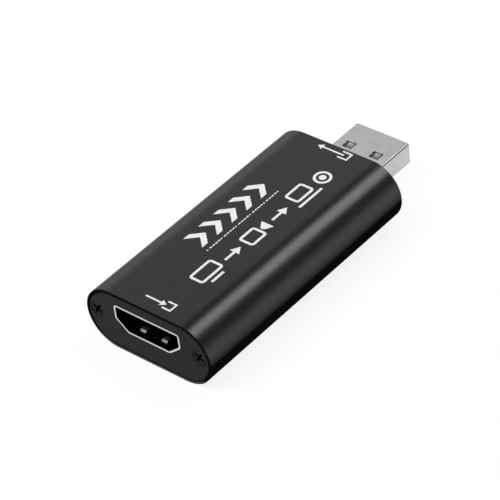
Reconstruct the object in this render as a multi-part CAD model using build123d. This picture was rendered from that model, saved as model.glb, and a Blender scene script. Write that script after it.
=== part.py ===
from build123d import *
import os

# A pocket video capture box: an aluminium sleeve with a cover screwed on each end, a video input
# socket in one cover and a data plug out of the other, and the circuit board between them.
# X runs across, Y along from the socket to the plug, Z up. The origin is on the underside,
# midway between the socket's face and the plug's tip.

# Overall sizes, in millimetres
body_width = 28.0
body_height = 12.5
body_length = 53.0
plug_reach = 13.0
overrun = 1.0

# Sleeve: a flat tube with fully round sides
sleeve_wall = 1.0
sleeve_edge_chamfer = 0.1
rebate_lip = 0.5
rail_thickness = 0.6
rail_grip = 0.9
rail_clearance = 0.05

# End covers, let in flush behind the sleeve's thin lip
cover_thickness = 1.6
cover_clearance = 0.1
cover_edge_chamfer = 0.15
port_clearance = 0.15

# Cover screws, and the ports in the sleeve's sides that they bite into
screw_inset = 2.55
screw_rise = 0.8
screw_port_radius = 1.8
screw_head_radius = 1.5
screw_head_land = 0.1
screw_sink = 0.08
screw_pocket_gap = 0.1
screw_crest_radius = 0.85
screw_core_radius = 0.65
screw_pitch = 0.5
screw_turns = 8
screw_tip_radius = 0.35
screw_tip_length = 0.4
screw_clearance = 0.03
screw_hole_gap = 0.1
drive_wing_width = 0.5
drive_reach = 1.15
drive_floor_reach = 0.42
drive_depth = 0.85
drive_turn = 32.0

# Video input socket: six-sided opening, wide side up
socket_opening_width = 14.0
socket_opening_height = 4.55
socket_straight_side = 2.475
socket_floor_width = 9.1
socket_corner_radius = 0.3
socket_sheet = 0.35
socket_depth = 11.8
socket_rise = 1.13
socket_standoff = 0.45
socket_leg_length = 1.0
socket_front_leg_depth = 4.0
socket_rear_leg_depth = 9.3
socket_leg_stub = 0.6

# The socket's moulding: a rear block and the tongue that the contacts lie on
socket_block_depth = 7.6
socket_fit_gap = 0.03
tongue_width = 10.9
tongue_thickness = 1.15
tongue_rise = 0.25
tongue_setback = 2.0
tongue_nose_chamfer = 0.25

# The socket's contacts
upper_contact_count = 10
lower_contact_count = 9
contact_pitch = 1.0
contact_blade_width = 0.45
contact_tail_width = 0.25
contact_thickness = 0.2
contact_proud = 0.05
contact_setback = 2.6
contact_tail_gap = 0.3
contact_foot_length = 1.1

# The four sprung fingers in the socket's shell
finger_width = 1.3
finger_thickness = 0.25
finger_root_depth = 5.0
finger_crest_depth = 1.7
finger_crest_flat = 0.4
finger_crest_height = 0.5
finger_crest_radius = 0.3
finger_tip_depth = 1.15
finger_tip_height = 0.18
finger_side_gap = 0.2
finger_root_gap = 0.03
finger_tip_gap = 0.3
upper_finger_offset = 3.0
lower_finger_offset = 2.4

# Data plug
plug_width = 12.0
plug_height = 4.5
plug_corner_radius = 0.45
plug_sheet = 0.3
plug_inner_length = 5.7
plug_lead_in = 0.15
plug_window_offset = 3.05
plug_window_width = 2.1
plug_window_length = 1.95
plug_window_setback = 5.2
plug_seam = 0.1
plug_free_depth = 12.0
plug_insulator_thickness = 1.84
plug_insulator_rise = 0.755
plug_insulator_setback = 0.4
plug_pocket_depth = 0.9
plug_bump_width = 1.2
plug_bump_gap = 0.2
plug_bump_high_sink = 0.12
plug_bump_low_sink = 0.5
plug_fit_gap = 0.03
plug_tab_length = 2.0
plug_tab_leg_length = 1.0
plug_tab_setback = 0.8
plug_tab_reach = 1.2
plug_tab_stub = 0.5
power_contact_offset = 3.5
data_contact_offset = 1.0
plug_contact_width = 1.0
power_contact_setback = 1.3
data_contact_setback = 2.3
plug_foot_length = 1.4
plug_foot_gap = 0.3

# Circuit board
board_thickness = 1.2
board_side_gap = 1.5
board_front_gap = 0.6
board_back_gap = 0.4
slot_clearance = 0.12
notch_clearance = 0.15

# Capture chip and memory chip, with bent leads
chip_width = 10.0
chip_thickness = 1.4
chip_leads_per_side = 16
chip_lead_pitch = 0.5
chip_lead_width = 0.22
memory_width = 4.9
memory_length = 3.9
memory_thickness = 1.5
memory_leads_per_side = 4
memory_lead_pitch = 1.27
memory_lead_width = 0.42
package_standoff = 0.1
package_edge_chamfer = 0.12
lead_thickness = 0.15
lead_shoulder = 0.3
lead_foot = 0.6
dot_radius = 0.35
dot_depth = 0.08

# Crystal, voltage regulators and coil
crystal_width = 5.0
crystal_length = 3.2
crystal_base_thickness = 0.7
crystal_can_margin = 0.25
crystal_can_thickness = 0.4
crystal_corner_radius = 0.5
regulator_width = 1.6
regulator_length = 2.9
regulator_thickness = 1.1
regulator_leads_per_side = 3
regulator_lead_pitch = 0.95
regulator_lead_width = 0.38
coil_width = 4.0
coil_thickness = 1.8
coil_corner_radius = 0.6
coil_well_radius = 1.45
coil_well_depth = 0.2
coil_pad_width = 1.0
coil_pad_thickness = 0.15

# Small two-ended parts, and the four-line protection arrays behind the socket
capacitor_length = 1.6
capacitor_width = 0.8
capacitor_height = 0.75
resistor_length = 1.6
resistor_width = 0.8
resistor_height = 0.42
end_cap_length = 0.3
array_count = 4
array_length = 2.5
array_width = 1.0
array_thickness = 0.5
array_pitch = 3.6

# Solder under the board, round the legs of the socket and of the plug's tabs
solder_radius = 0.8
solder_tip_radius = 0.45
solder_height = 0.35

# Places on the board: shares of its width, and of the free length between socket and plug
chip_place_shares = (0.0, -0.12)
memory_place_shares = (-0.226, 0.31)
crystal_place_shares = (0.239, 0.22)
coil_place_shares = (0.239, 0.395)
regulator_place_shares = [(0.009, 0.25), (0.009, 0.4)]
array_row_share = -0.42
capacitor_column_share = 0.357
capacitor_row_shares = [-0.3, -0.2, -0.1, 0.0, 0.1]
resistor_column_share = 0.409
resistor_row_shares = [-0.25, -0.15, -0.05, 0.05]

# Places that follow from the sizes
overall_length = body_length + plug_reach
input_end = -overall_length / 2
output_end = input_end + body_length
plug_tip = output_end + plug_reach
mid_height = body_height / 2
inner_width = body_width - 2 * sleeve_wall
inner_height = body_height - 2 * sleeve_wall
rebate_width = body_width - 2 * rebate_lip
rebate_height = body_height - 2 * rebate_lip
cover_width = rebate_width - 2 * cover_clearance
cover_height = rebate_height - 2 * cover_clearance
screw_x = body_width / 2 - screw_inset
screw_z = mid_height + screw_rise
screw_bore_radius = screw_crest_radius + screw_clearance
socket_z = mid_height + socket_rise
socket_half_height = socket_opening_height / 2
socket_half_width = socket_opening_width / 2
socket_back = input_end + socket_depth
socket_leg_x = socket_half_width + socket_sheet / 2
tongue_z = socket_z + tongue_rise
plug_back = output_end - plug_inner_length
plug_window_end = plug_tip - plug_window_setback
plug_window_start = plug_window_end - plug_window_length
plug_tab_x = plug_width / 2 + plug_tab_reach
plug_tab_leg_x = plug_tab_x - plug_sheet / 2
plug_tab_y = output_end - cover_thickness - plug_tab_setback - plug_tab_length / 2
board_width = inner_width - 2 * board_side_gap
board_top = socket_z - socket_half_height - socket_sheet - socket_standoff
board_bottom = board_top - board_thickness
plug_shelf_bottom = board_top + plug_insulator_rise
plug_top = plug_shelf_bottom + plug_insulator_thickness + plug_sheet
plug_bottom = plug_top - plug_height
plug_z = plug_bottom + plug_height / 2
board_front = input_end + cover_thickness + board_front_gap
board_back = output_end - cover_thickness - board_back_gap
contact_foot_end = socket_back + contact_tail_gap + contact_foot_length
plug_foot_start = plug_back - plug_foot_gap - plug_foot_length
field_middle = (contact_foot_end + plug_foot_start) / 2
field_length = plug_foot_start - contact_foot_end


def along_y(outline, start, end):
    """An outline drawn in X and Z, pushed along Y from start to end."""
    far_plane = Plane(origin=(0, end, 0), x_dir=(1, 0, 0), z_dir=(0, -1, 0))
    return extrude(far_plane * outline, amount=end - start)


def along_x(outline, start, end):
    """An outline drawn in Y and Z, pushed along X from start to end."""
    near_plane = Plane(origin=(start, 0, 0), x_dir=(0, 1, 0), z_dir=(1, 0, 0))
    return extrude(near_plane * outline, amount=end - start)


def block(x_span, y_span, z_span):
    """A rectangular block between two values on each axis."""
    spans = (x_span, y_span, z_span)
    size = [high - low for low, high in spans]
    centre = [(high + low) / 2 for low, high in spans]
    return Pos(*centre) * Box(*size)


def around(centre, size):
    """The two values half a size either side of a centre."""
    return (centre - size / 2, centre + size / 2)


def turned(points, direction):
    """A shape turned about the Y axis from radius and depth pairs, deeper along the direction."""
    corners = [(radius, direction * depth) for radius, depth in points]
    return revolve(make_face(Polyline(corners, close=True)), Axis.Y)


def centred_row(count, pitch):
    """Places of a row with an even pitch, centred on zero."""
    return [(index - (count - 1) / 2) * pitch for index in range(count)]


def solids_of(shapes):
    """Every solid of a list of shapes, kept apart."""
    return [solid for shape in shapes for solid in shape.solids()]


def stadium(width, height):
    """A flat outline with fully round sides, at mid-height."""
    return Pos(0, mid_height) * SlotOverall(width, height)


def make_sleeve():
    """The extruded tube with its two screw ports and board rails, rebated at both ends."""
    outline = stadium(body_width, body_height) - stadium(inner_width, inner_height)
    wall_middle = stadium(body_width - sleeve_wall, body_height - sleeve_wall)
    rail_edge = board_width / 2 - rail_grip
    rail_width = body_width / 2 - rail_edge
    lower_top = board_bottom - rail_clearance
    upper_bottom = board_top + rail_clearance
    for side in (-1, 1):
        rail_x = side * (rail_edge + rail_width / 2)
        port = Pos(side * screw_x, screw_z) * Circle(screw_port_radius)
        lower_rail = Pos(rail_x, lower_top - rail_thickness / 2) * Rectangle(rail_width, rail_thickness)
        upper_height = screw_z - upper_bottom
        upper_rail = Pos(rail_x, upper_bottom + upper_height / 2) * Rectangle(rail_width, upper_height)
        outline += wall_middle & (port + lower_rail + upper_rail)
    for side in (-1, 1):
        outline -= Pos(side * screw_x, screw_z) * Circle(screw_bore_radius)
    sleeve = along_y(outline, input_end, output_end)
    rebate = stadium(rebate_width, rebate_height)
    sleeve -= along_y(rebate, input_end - overrun, input_end + cover_thickness)
    sleeve -= along_y(rebate, output_end - cover_thickness, output_end + overrun)
    for end_face in (sleeve.faces().sort_by(Axis.Y)[0], sleeve.faces().sort_by(Axis.Y)[-1]):
        sleeve = chamfer(end_face.outer_wire().edges(), sleeve_edge_chamfer)
    return sleeve


def screw_hole(direction):
    """The pocket, countersink and clearance hole for one cover screw, from the cover's face."""
    pocket_radius = screw_head_radius + screw_pocket_gap
    seat_depth = screw_sink + screw_head_land
    seat_radius = screw_head_radius + screw_clearance
    hole_radius = screw_crest_radius + screw_hole_gap
    hole_depth = seat_depth + seat_radius - hole_radius
    return turned(
        [
            (0, -overrun),
            (pocket_radius, -overrun),
            (pocket_radius, seat_depth),
            (seat_radius, seat_depth),
            (hole_radius, hole_depth),
            (hole_radius, cover_thickness + overrun),
            (0, cover_thickness + overrun),
        ],
        direction,
    )


def make_cover(face, direction, port_outline):
    """An end cover with its outer face at the given Y, the port cut through and two screw holes."""
    inner_face = face + direction * cover_thickness
    outline = stadium(cover_width, cover_height) - port_outline
    cover = along_y(outline, min(face, inner_face), max(face, inner_face))
    end_faces = cover.faces().sort_by(Axis.Y)
    outer_face = end_faces[0] if direction > 0 else end_faces[-1]
    cover = chamfer(outer_face.outer_wire().edges(), cover_edge_chamfer)
    for side in (-1, 1):
        cover -= Pos(side * screw_x, face, screw_z) * screw_hole(direction)
    return cover


def make_screws(face, direction):
    """The two countersunk cross-drive screws of one cover."""
    shank_depth = screw_head_land + screw_head_radius - screw_crest_radius
    profile = [
        (0, 0),
        (screw_head_radius, 0),
        (screw_head_radius, screw_head_land),
        (screw_crest_radius, shank_depth),
    ]
    for turn in range(screw_turns):
        crest_depth = shank_depth + turn * screw_pitch
        profile.append((screw_core_radius, crest_depth + screw_pitch / 2))
        profile.append((screw_crest_radius, crest_depth + screw_pitch))
    thread_end = shank_depth + screw_turns * screw_pitch
    profile.append((screw_tip_radius, thread_end + screw_tip_length))
    profile.append((0, thread_end + screw_tip_length))
    screw = turned(profile, direction)
    drive_span = around(0, 2 * drive_reach)
    wing_span = around(0, drive_wing_width)
    depth_span = sorted((-direction * overrun, direction * drive_depth))
    cross = block(drive_span, depth_span, wing_span) + block(wing_span, depth_span, drive_span)
    taper_profile = [
        (0, -overrun),
        (drive_reach, -overrun),
        (drive_reach, 0),
        (drive_floor_reach, drive_depth),
        (0, drive_depth),
    ]
    taper = turned(taper_profile, direction)
    screw -= Rot(0, drive_turn, 0) * cross & taper
    head_face = face + direction * screw_sink
    return [Pos(side * screw_x, head_face, screw_z) * screw for side in (-1, 1)]


def socket_outline(grow):
    """The socket's six-sided opening, with its sides moved outwards by grow."""
    top = socket_half_height
    knee = top - socket_straight_side
    half_floor = socket_floor_width / 2
    corners = Polygon(
        (-socket_half_width, top),
        (-socket_half_width, knee),
        (-half_floor, -top),
        (half_floor, -top),
        (socket_half_width, knee),
        (socket_half_width, top),
    )
    rounded = fillet(corners.vertices(), socket_corner_radius)
    return Pos(0, socket_z) * (offset(rounded, grow) if grow else rounded)


def finger_wall(side):
    """Height of the middle of the socket's upper (1) or lower (-1) sheet."""
    return socket_z + side * (socket_half_height + socket_sheet / 2)


def socket_legs():
    """The four legs of the socket's shell that pass through the board."""
    legs = []
    for side in (-1, 1):
        for depth in (socket_front_leg_depth, socket_rear_leg_depth):
            x_span = around(side * socket_leg_x, socket_sheet)
            y_span = around(input_end + depth, socket_leg_length)
            legs.append(block(x_span, y_span, (board_bottom - socket_leg_stub, socket_z)))
    return legs


def make_socket_shell():
    """The bent sheet shell: a six-sided tube with four finger windows and four legs."""
    shell = along_y(socket_outline(socket_sheet) - socket_outline(0), input_end, socket_back)
    window_start = input_end + finger_tip_depth - finger_tip_gap
    window_end = input_end + finger_root_depth + finger_thickness / 2 + finger_root_gap
    window_width = finger_width + 2 * finger_side_gap
    for side, offset_x in ((1, upper_finger_offset), (-1, lower_finger_offset)):
        z_span = around(finger_wall(side), 2 * socket_sheet)
        for x in (-offset_x, offset_x):
            shell -= block(around(x, window_width), (window_start, window_end), z_span)
    for leg in socket_legs():
        shell += leg
    return shell


def make_finger(side, x):
    """One sprung finger: hinged at its rear, humped inwards near the mouth, tip turned back out."""
    wall_inner = socket_z + side * socket_half_height
    root_y = input_end + finger_root_depth
    crest_back = input_end + finger_crest_depth + finger_crest_flat / 2
    crest_front = input_end + finger_crest_depth - finger_crest_flat / 2
    tip_y = input_end + finger_tip_depth
    root_height = (finger_thickness - socket_sheet) / 2
    inner_line = [
        (root_y, root_height),
        (crest_back, finger_crest_height),
        (crest_front, finger_crest_height),
        (tip_y, finger_tip_height),
    ]
    outer_line = [(y, height - finger_thickness) for y, height in reversed(inner_line)]
    corners = [(y, wall_inner - side * height) for y, height in inner_line + outer_line]
    strip = make_face(Polyline(corners, close=True))
    crest_span = (tip_y + finger_tip_gap, root_y - finger_tip_gap)
    crest_corners = [corner for corner in strip.vertices() if crest_span[0] < corner.X < crest_span[1]]
    strip = fillet(crest_corners, finger_crest_radius)
    finger = along_x(strip, x - finger_width / 2, x + finger_width / 2)
    root_round = Rot(0, 90, 0) * Cylinder(finger_thickness / 2, finger_width)
    return finger + Pos(x, root_y, finger_wall(side)) * root_round


def contact(x, blade_top):
    """One socket contact: a blade on the tongue, a tail behind the block, a foot on the board."""
    tail_back = socket_back + contact_tail_gap + contact_thickness
    tail_span = (tail_back - contact_thickness, tail_back)
    blade = block(
        around(x, contact_blade_width),
        (input_end + contact_setback, tail_back),
        (blade_top - contact_thickness, blade_top),
    )
    tail = block(around(x, contact_tail_width), tail_span, (board_top, blade_top))
    foot = block(
        around(x, contact_tail_width),
        (tail_span[0], contact_foot_end),
        (board_top, board_top + contact_thickness),
    )
    return blade + tail + foot


def upper_contacts():
    """The row of contacts on top of the tongue."""
    top = tongue_z + tongue_thickness / 2 + contact_proud
    return [contact(x, top) for x in centred_row(upper_contact_count, contact_pitch)]


def lower_contacts():
    """The row of contacts under the tongue, half a pitch to the side of the upper ones."""
    top = tongue_z - tongue_thickness / 2 - contact_proud + contact_thickness
    return [contact(x, top) for x in centred_row(lower_contact_count, contact_pitch)]


def make_socket_housing():
    """The moulding: a block that closes the shell's rear, and the tongue, grooved for contacts."""
    housing = along_y(socket_outline(-socket_fit_gap), input_end + socket_block_depth, socket_back)
    tongue = block(
        around(0, tongue_width),
        (input_end + tongue_setback, input_end + socket_block_depth + overrun),
        around(tongue_z, tongue_thickness),
    )
    nose = tongue.faces().sort_by(Axis.Y)[0]
    housing += chamfer(nose.edges(), tongue_nose_chamfer)
    for strip in upper_contacts() + lower_contacts():
        housing -= strip
    return housing


def plug_tab_legs():
    """The legs of the plug's two side tabs, which pass through the board."""
    y_span = around(plug_tab_y, plug_tab_leg_length)
    z_span = (board_bottom - plug_tab_stub, board_top)
    return [block(around(side * plug_tab_leg_x, plug_sheet), y_span, z_span) for side in (-1, 1)]


def plug_tabs():
    """The plug shell's two side tabs, flat on the board, without their legs."""
    tabs = []
    for side in (-1, 1):
        wall_x = side * (plug_width - plug_sheet) / 2
        x_span = sorted((wall_x, side * plug_tab_x))
        y_span = around(plug_tab_y, plug_tab_length)
        tabs.append(block(x_span, y_span, (board_top, board_top + plug_sheet)))
    return tabs


def make_plug_shell():
    """The plug's folded sheet shell with its four latch windows, its seam and its side tabs."""
    outer = RectangleRounded(plug_width, plug_height, plug_corner_radius)
    inner = RectangleRounded(
        plug_width - 2 * plug_sheet,
        plug_height - 2 * plug_sheet,
        plug_corner_radius - plug_sheet,
    )
    shell = along_y(Pos(0, plug_z) * (outer - inner), plug_back, plug_tip)
    mouth = shell.faces().sort_by(Axis.Y)[-1]
    shell = chamfer(mouth.outer_wire().edges(), plug_lead_in)
    for x in (-plug_window_offset, plug_window_offset):
        shell -= block(
            around(x, plug_window_width),
            (plug_window_start, plug_window_end),
            around(plug_z, plug_height + overrun),
        )
    seam_z = (plug_bottom - overrun, plug_bottom + 2 * plug_sheet)
    shell -= block(around(0, plug_seam), (plug_back - overrun, plug_tip + overrun), seam_z)
    for tab in plug_tabs() + plug_tab_legs():
        shell += tab
    return shell


def plug_contact(x, setback):
    """One plug contact: a blade under the insulator, a step down and a foot on the board."""
    bottom = plug_shelf_bottom - contact_proud
    top = bottom + contact_thickness
    step_end = plug_back - plug_foot_gap
    x_span = around(x, plug_contact_width)
    blade = block(x_span, (step_end - contact_thickness, plug_tip - setback), (bottom, top))
    step = block(x_span, (step_end - contact_thickness, step_end), (board_top, top))
    foot = block(x_span, (plug_foot_start, step_end), (board_top, board_top + contact_thickness))
    return blade + step + foot


def power_contacts():
    """The two outer plug contacts, which reach nearer the tip."""
    return [plug_contact(side * power_contact_offset, power_contact_setback) for side in (-1, 1)]


def data_contacts():
    """The two inner plug contacts."""
    return [plug_contact(side * data_contact_offset, data_contact_setback) for side in (-1, 1)]


def plug_bump(x, pocket_floor):
    """The wedge that stands up in one latch window, higher towards the plug's tip."""
    low_end = plug_window_start + plug_bump_gap
    high_end = plug_window_end - plug_bump_gap
    side = Polyline(
        (low_end, pocket_floor),
        (low_end, plug_top - plug_bump_low_sink),
        (high_end, plug_top - plug_bump_high_sink),
        (high_end, pocket_floor),
        close=True,
    )
    return along_x(make_face(side), *around(x, plug_bump_width))


def make_plug_insulator():
    """The plug's moulding: the upper half along its length, full height at the rear."""
    half_width = plug_width / 2 - plug_sheet - plug_fit_gap
    bottom = plug_bottom + plug_sheet + plug_fit_gap
    top = plug_top - plug_sheet - plug_fit_gap
    x_span = (-half_width, half_width)
    shelf = block(x_span, (plug_back, plug_tip - plug_insulator_setback), (plug_shelf_bottom, top))
    rear = block(x_span, (plug_back, plug_tip - plug_free_depth), (bottom, top))
    moulding = shelf + rear
    long_edges = moulding.edges().filter_by(Axis.Y)
    outer_edges = [edge for edge in long_edges if abs(edge.center().Z - plug_shelf_bottom) > plug_fit_gap]
    moulding = fillet(outer_edges, plug_corner_radius - plug_sheet)
    pocket_floor = top - plug_pocket_depth
    for x in (-plug_window_offset, plug_window_offset):
        pocket_span = (plug_window_start, plug_window_end)
        moulding -= block(around(x, plug_window_width), pocket_span, (pocket_floor, top + overrun))
        moulding += plug_bump(x, pocket_floor)
    for strip in power_contacts() + data_contacts():
        moulding -= strip
    return moulding


def make_board():
    """The circuit board, notched for the plug and slotted for the legs and tabs."""
    thickness_span = (board_bottom, board_top)
    through_span = (board_bottom - overrun, board_top + overrun)
    board = block(around(0, board_width), (board_front, board_back), thickness_span)
    notch_width = plug_width + 2 * notch_clearance
    notch_front = plug_back - notch_clearance
    board -= block(around(0, notch_width), (notch_front, board_back + overrun), through_span)
    for side in (-1, 1):
        for depth in (socket_front_leg_depth, socket_rear_leg_depth):
            x_span = around(side * socket_leg_x, socket_sheet + 2 * slot_clearance)
            y_span = around(input_end + depth, socket_leg_length + 2 * slot_clearance)
            board -= block(x_span, y_span, through_span)
        x_span = around(side * plug_tab_leg_x, plug_sheet + 2 * slot_clearance)
        y_span = around(plug_tab_y, plug_tab_leg_length + 2 * slot_clearance)
        board -= block(x_span, y_span, through_span)
    return board


def on_board(place_shares):
    """A place on the board's top, from shares of its width and of its free length."""
    width_share, length_share = place_shares
    return Pos(width_share * board_width, field_middle + length_share * field_length, board_top)


def package(width, length, thickness):
    """A moulded chip body standing just off the board, with chamfered edges and a dot."""
    body = block(around(0, width), around(0, length), (package_standoff, thickness))
    body = chamfer(body.faces().sort_by(Axis.Z)[-1].edges(), package_edge_chamfer)
    dot_x = -width / 2 + 2 * dot_radius
    dot_y = -length / 2 + 2 * dot_radius
    return body - Pos(dot_x, dot_y, thickness) * Cylinder(dot_radius, 2 * dot_depth)


def lead_side(count, pitch, lead_width, half_body, thickness):
    """One side's bent leads, out along X from the body's side and down onto the board."""
    level = (thickness - lead_thickness) / 2
    bend = half_body + lead_shoulder
    profile = Polyline(
        (half_body, level),
        (half_body, level + lead_thickness),
        (bend + lead_thickness, level + lead_thickness),
        (bend + lead_thickness, lead_thickness),
        (bend + lead_foot, lead_thickness),
        (bend + lead_foot, 0),
        (bend, 0),
        (bend, level),
        close=True,
    )
    lead = along_y(make_face(profile), -lead_width / 2, lead_width / 2)
    return [Pos(0, y, 0) * lead for y in centred_row(count, pitch)]


def make_capture_chip():
    """The square capture chip's body, and its leads on all four sides."""
    place = on_board(chip_place_shares)
    side = lead_side(chip_leads_per_side, chip_lead_pitch, chip_lead_width, chip_width / 2, chip_thickness)
    leads = [place * Rot(0, 0, quarter * 90) * lead for quarter in range(4) for lead in side]
    return [place * package(chip_width, chip_width, chip_thickness)], leads


def make_memory_chip():
    """The memory chip's body, and its leads on the two long sides."""
    place = on_board(memory_place_shares) * Rot(0, 0, 90)
    half_body = memory_length / 2
    side = lead_side(
        memory_leads_per_side, memory_lead_pitch, memory_lead_width, half_body, memory_thickness
    )
    leads = [place * Rot(0, 0, half * 180) * lead for half in range(2) for lead in side]
    return [place * package(memory_length, memory_width, memory_thickness)], leads


def make_crystal():
    """The crystal's ceramic base and the metal can on it."""
    place = on_board(crystal_place_shares)
    base = block(around(0, crystal_width), around(0, crystal_length), (0, crystal_base_thickness))
    can_outline = RectangleRounded(
        crystal_width - 2 * crystal_can_margin,
        crystal_length - 2 * crystal_can_margin,
        crystal_corner_radius,
    )
    can = Pos(0, 0, crystal_base_thickness) * extrude(can_outline, amount=crystal_can_thickness)
    return [place * base], [place * can]


def make_regulators():
    """The two voltage regulators' bodies, and their leads."""
    half_body = regulator_width / 2
    side = lead_side(
        regulator_leads_per_side, regulator_lead_pitch, regulator_lead_width, half_body, regulator_thickness
    )
    bodies = []
    leads = []
    for place_shares in regulator_place_shares:
        place = on_board(place_shares)
        bodies.append(place * package(regulator_width, regulator_length, regulator_thickness))
        leads += [place * Rot(0, 0, half * 180) * lead for half in range(2) for lead in side]
    return bodies, leads


def make_coil():
    """The power supply's shielded coil, standing on its two pads."""
    place = on_board(coil_place_shares)
    core_outline = RectangleRounded(coil_width, coil_width, coil_corner_radius)
    core = Pos(0, 0, coil_pad_thickness) * extrude(core_outline, amount=coil_thickness - coil_pad_thickness)
    core -= Pos(0, 0, coil_thickness) * Cylinder(coil_well_radius, 2 * coil_well_depth)
    pads = []
    for side in (-1, 1):
        pad_x = side * (coil_width - coil_pad_width) / 2
        pad_length = coil_width - 2 * coil_corner_radius
        pads.append(block(around(pad_x, coil_pad_width), around(0, pad_length), (0, coil_pad_thickness)))
    return [place * core], [place * pad for pad in pads]


def two_ended(length, width, height):
    """The body of a small part that lies along Y, and its two metal ends."""
    body = block(around(0, width), around(0, length - 2 * end_cap_length), (0, height))
    ends = []
    for side in (-1, 1):
        end_y = side * (length - end_cap_length) / 2
        ends.append(block(around(0, width), around(end_y, end_cap_length), (0, height)))
    return body, ends


def two_ended_columns(size, column_share, row_shares):
    """Two columns of like small parts, one each side of the capture chip."""
    body, ends = two_ended(*size)
    bodies = []
    caps = []
    for side in (-1, 1):
        for row_share in row_shares:
            place = on_board((side * column_share, row_share))
            bodies.append(place * body)
            caps += [place * end for end in ends]
    return bodies, caps


def make_arrays():
    """The row of surge protection arrays between the socket and the capture chip."""
    row = on_board((0, array_row_share))
    return [
        row * Pos(x, 0, 0) * block(around(0, array_length), around(0, array_width), (0, array_thickness))
        for x in centred_row(array_count, array_pitch)
    ]


def make_solder():
    """The solder cones under the board, round each leg of the socket and the plug."""
    cones = []
    for leg in socket_legs() + plug_tab_legs():
        centre = leg.bounding_box().center()
        cone = Cone(solder_tip_radius, solder_radius, solder_height)
        cones.append(Pos(centre.X, centre.Y, board_bottom - solder_height / 2) * cone - leg)
    return cones


def make_nodes():
    """Every piece of the box under its name, each as a list of separate shapes."""
    chip_body, chip_leads = make_capture_chip()
    memory_body, memory_leads = make_memory_chip()
    crystal_base, crystal_can = make_crystal()
    regulator_bodies, regulator_leads = make_regulators()
    coil_core, coil_pads = make_coil()
    capacitor_size = (capacitor_length, capacitor_width, capacitor_height)
    capacitor_bodies, capacitor_ends = two_ended_columns(
        capacitor_size, capacitor_column_share, capacitor_row_shares
    )
    resistor_size = (resistor_length, resistor_width, resistor_height)
    resistor_bodies, resistor_ends = two_ended_columns(
        resistor_size, resistor_column_share, resistor_row_shares
    )
    plug_port = Pos(0, plug_z) * RectangleRounded(
        plug_width + 2 * port_clearance,
        plug_height + 2 * port_clearance,
        plug_corner_radius + port_clearance,
    )
    nodes = {
        "sleeve": [make_sleeve()],
        "input_end_cover": [make_cover(input_end, 1, socket_outline(socket_sheet + port_clearance))],
        "output_end_cover": [make_cover(output_end, -1, plug_port)],
        "input_cover_screws": make_screws(input_end, 1),
        "output_cover_screws": make_screws(output_end, -1),
        "circuit_board": [make_board()],
        "input_socket_shell": [make_socket_shell()],
        "input_socket_housing": [make_socket_housing()],
        "input_socket_upper_contacts": upper_contacts(),
        "input_socket_lower_contacts": lower_contacts(),
        "output_plug_shell": [make_plug_shell()],
        "output_plug_insulator": [make_plug_insulator()],
        "output_plug_power_contacts": power_contacts(),
        "output_plug_data_contacts": data_contacts(),
        "capture_chip_body": chip_body,
        "capture_chip_leads": chip_leads,
        "memory_chip_body": memory_body,
        "memory_chip_leads": memory_leads,
        "crystal_base": crystal_base,
        "crystal_can": crystal_can,
        "regulator_bodies": regulator_bodies,
        "regulator_leads": regulator_leads,
        "power_coil_core": coil_core,
        "power_coil_pads": coil_pads,
        "capacitor_bodies": capacitor_bodies,
        "capacitor_ends": capacitor_ends,
        "resistor_bodies": resistor_bodies,
        "resistor_ends": resistor_ends,
        "protection_arrays": make_arrays(),
        "solder_joints": make_solder(),
    }
    fingers = (("upper", 1, upper_finger_offset), ("lower", -1, lower_finger_offset))
    for level, side, offset_x in fingers:
        for hand, x in (("left", -offset_x), ("right", offset_x)):
            nodes[f"input_socket_finger_{level}_{hand}"] = [make_finger(side, x)]
    return nodes


os.makedirs("parts", exist_ok=True)
for node, shapes in make_nodes().items():
    export_step(Compound(solids_of(shapes)), f"parts/{node}.step")
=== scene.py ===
import math

import bmesh
import bpy
from bpy.props import FloatProperty, FloatVectorProperty, IntProperty, PointerProperty
from mathutils import Matrix, Vector


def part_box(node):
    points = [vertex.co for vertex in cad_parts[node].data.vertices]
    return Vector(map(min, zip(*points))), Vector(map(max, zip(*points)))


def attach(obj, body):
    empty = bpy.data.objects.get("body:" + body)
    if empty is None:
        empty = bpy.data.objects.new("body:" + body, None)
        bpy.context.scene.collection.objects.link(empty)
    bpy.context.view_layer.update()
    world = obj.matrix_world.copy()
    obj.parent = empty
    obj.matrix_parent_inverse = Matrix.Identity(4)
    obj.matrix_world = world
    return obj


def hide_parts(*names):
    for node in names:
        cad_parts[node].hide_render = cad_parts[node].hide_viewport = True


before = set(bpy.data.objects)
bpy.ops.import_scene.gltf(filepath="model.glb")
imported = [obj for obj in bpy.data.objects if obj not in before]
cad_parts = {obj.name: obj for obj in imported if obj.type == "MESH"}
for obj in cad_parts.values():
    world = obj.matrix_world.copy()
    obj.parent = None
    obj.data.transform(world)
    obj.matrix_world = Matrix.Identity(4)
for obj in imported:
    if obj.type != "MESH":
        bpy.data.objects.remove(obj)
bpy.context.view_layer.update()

bl_info = {
    "name": "Video capture box",
    "version": (1, 0, 0),
    "blender": (4, 5, 0),
    "location": "View3D > Sidebar > Capture box",
    "description": "Finishes, rounded edges and printed marks of a pocket video capture box",
    "category": "Object",
}

# One millimetre, in Blender's metres
MM = 0.001

# Merging the copied parts, and which of their edges are rounded or kept crisp
MERGE_DISTANCE = 0.001 * MM
FLAT_ANGLE = math.radians(0.5)
EDGE_ANGLE = math.radians(30)
CRISP_ANGLE = math.radians(60)

# Range that noise mostly keeps to, and how finely the drift, the grain and the patches on rounded edges
# break up
NOISE_RANGE = (0.3, 0.7)
DRIFT_DETAIL = 4.0
GRAIN_DETAIL = 2.0
EDGE_PATCH_DETAIL = 3.0

# Size of the patches on rounded edges, real wear on most finishes and painted shade on the covers, as a
# share of the drift's, and the least of them on an edge
EDGE_PATCH_SIZE = 0.25
EDGE_PATCH_LEAST = 0.15

# Strength of a finish's relief, and roughness of its parts in painted shade
RELIEF_STRENGTH = 0.5
SHADE_ROUGHNESS = 0.7

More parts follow.
